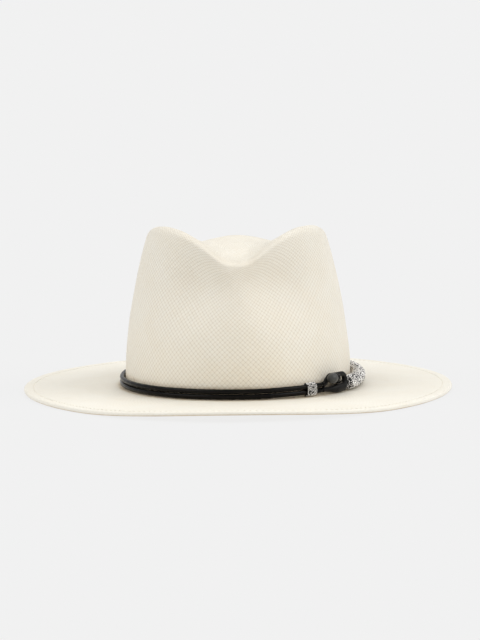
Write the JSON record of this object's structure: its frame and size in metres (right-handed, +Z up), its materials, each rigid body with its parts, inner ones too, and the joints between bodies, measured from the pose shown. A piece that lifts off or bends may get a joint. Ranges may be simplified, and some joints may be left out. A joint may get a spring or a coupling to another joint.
{
  "type": "panama hat",
  "caption": "Woven straw panama hat with a pinched teardrop crown, wide flat brim, leather sweatband and a removable leather cord hatband with a beaded closure.",
  "frame": {"origin": "middle of the bounding box at the level of the hem's flat underside, which the hat rests on", "axes": "+Z up out of the crown, -Y the front of the hat, +X the wearer's left, where the beaded closure is"},
  "size_m": [0.3198, 0.357, 0.1263],
  "materials": {
    "straw": "fine woven natural straw, bleached ivory",
    "spring_wire": "plain drawn wire",
    "straw_thread": "matt thread",
    "tan_leather": "smooth natural leather",
    "reed_cloth": "cloth-covered piping",
    "tan_thread": "matt thread",
    "ribbon": "ribbed ribbon",
    "tab_cloth": "blank woven tag",
    "black_leather": "black, satin, fine grain",
    "silver_beads": "small bright beads",
    "beads": "tiny silver and white beads",
    "black_metal": "black satin end cap",
    "core_cord": "braided core"
  },
  "bodies": {
    "hat": {"straw_body": "straw", "brim_wire": "spring_wire", "hem_stitching": "straw_thread", "sweatband": "tan_leather", "sweatband_reed": "reed_cloth", "sweatband_stitching": "tan_thread", "sweatband_bow": "ribbon", "size_tab": "tab_cloth"},
    "hatband": {"cord_upper": "black_leather", "cord_lower": "black_leather", "closure_loop": "black_leather", "toggle_head": "black_leather", "toggle_neck": "black_leather", "tube_front_cap": "black_metal", "tube_core": "core_cord", "bead_sleeve": "beads", "tube_rear_cap": "black_metal"},
    "keeper": {"cord_keeper": "silver_beads"}
  },
  "joints": [
    {"name": "band_lift", "type": "slide", "parent": "hat", "child": "hatband", "axis": [0, 0, 1], "range_m": [0, 0.13]},
    {"name": "keeper_slide", "type": "hinge", "parent": "hatband", "child": "keeper", "pos_m": [-0.01286, -0.01499, 0.01063], "axis": [0, 0, 1], "range_deg": [-5.5, 5]}
  ]
}
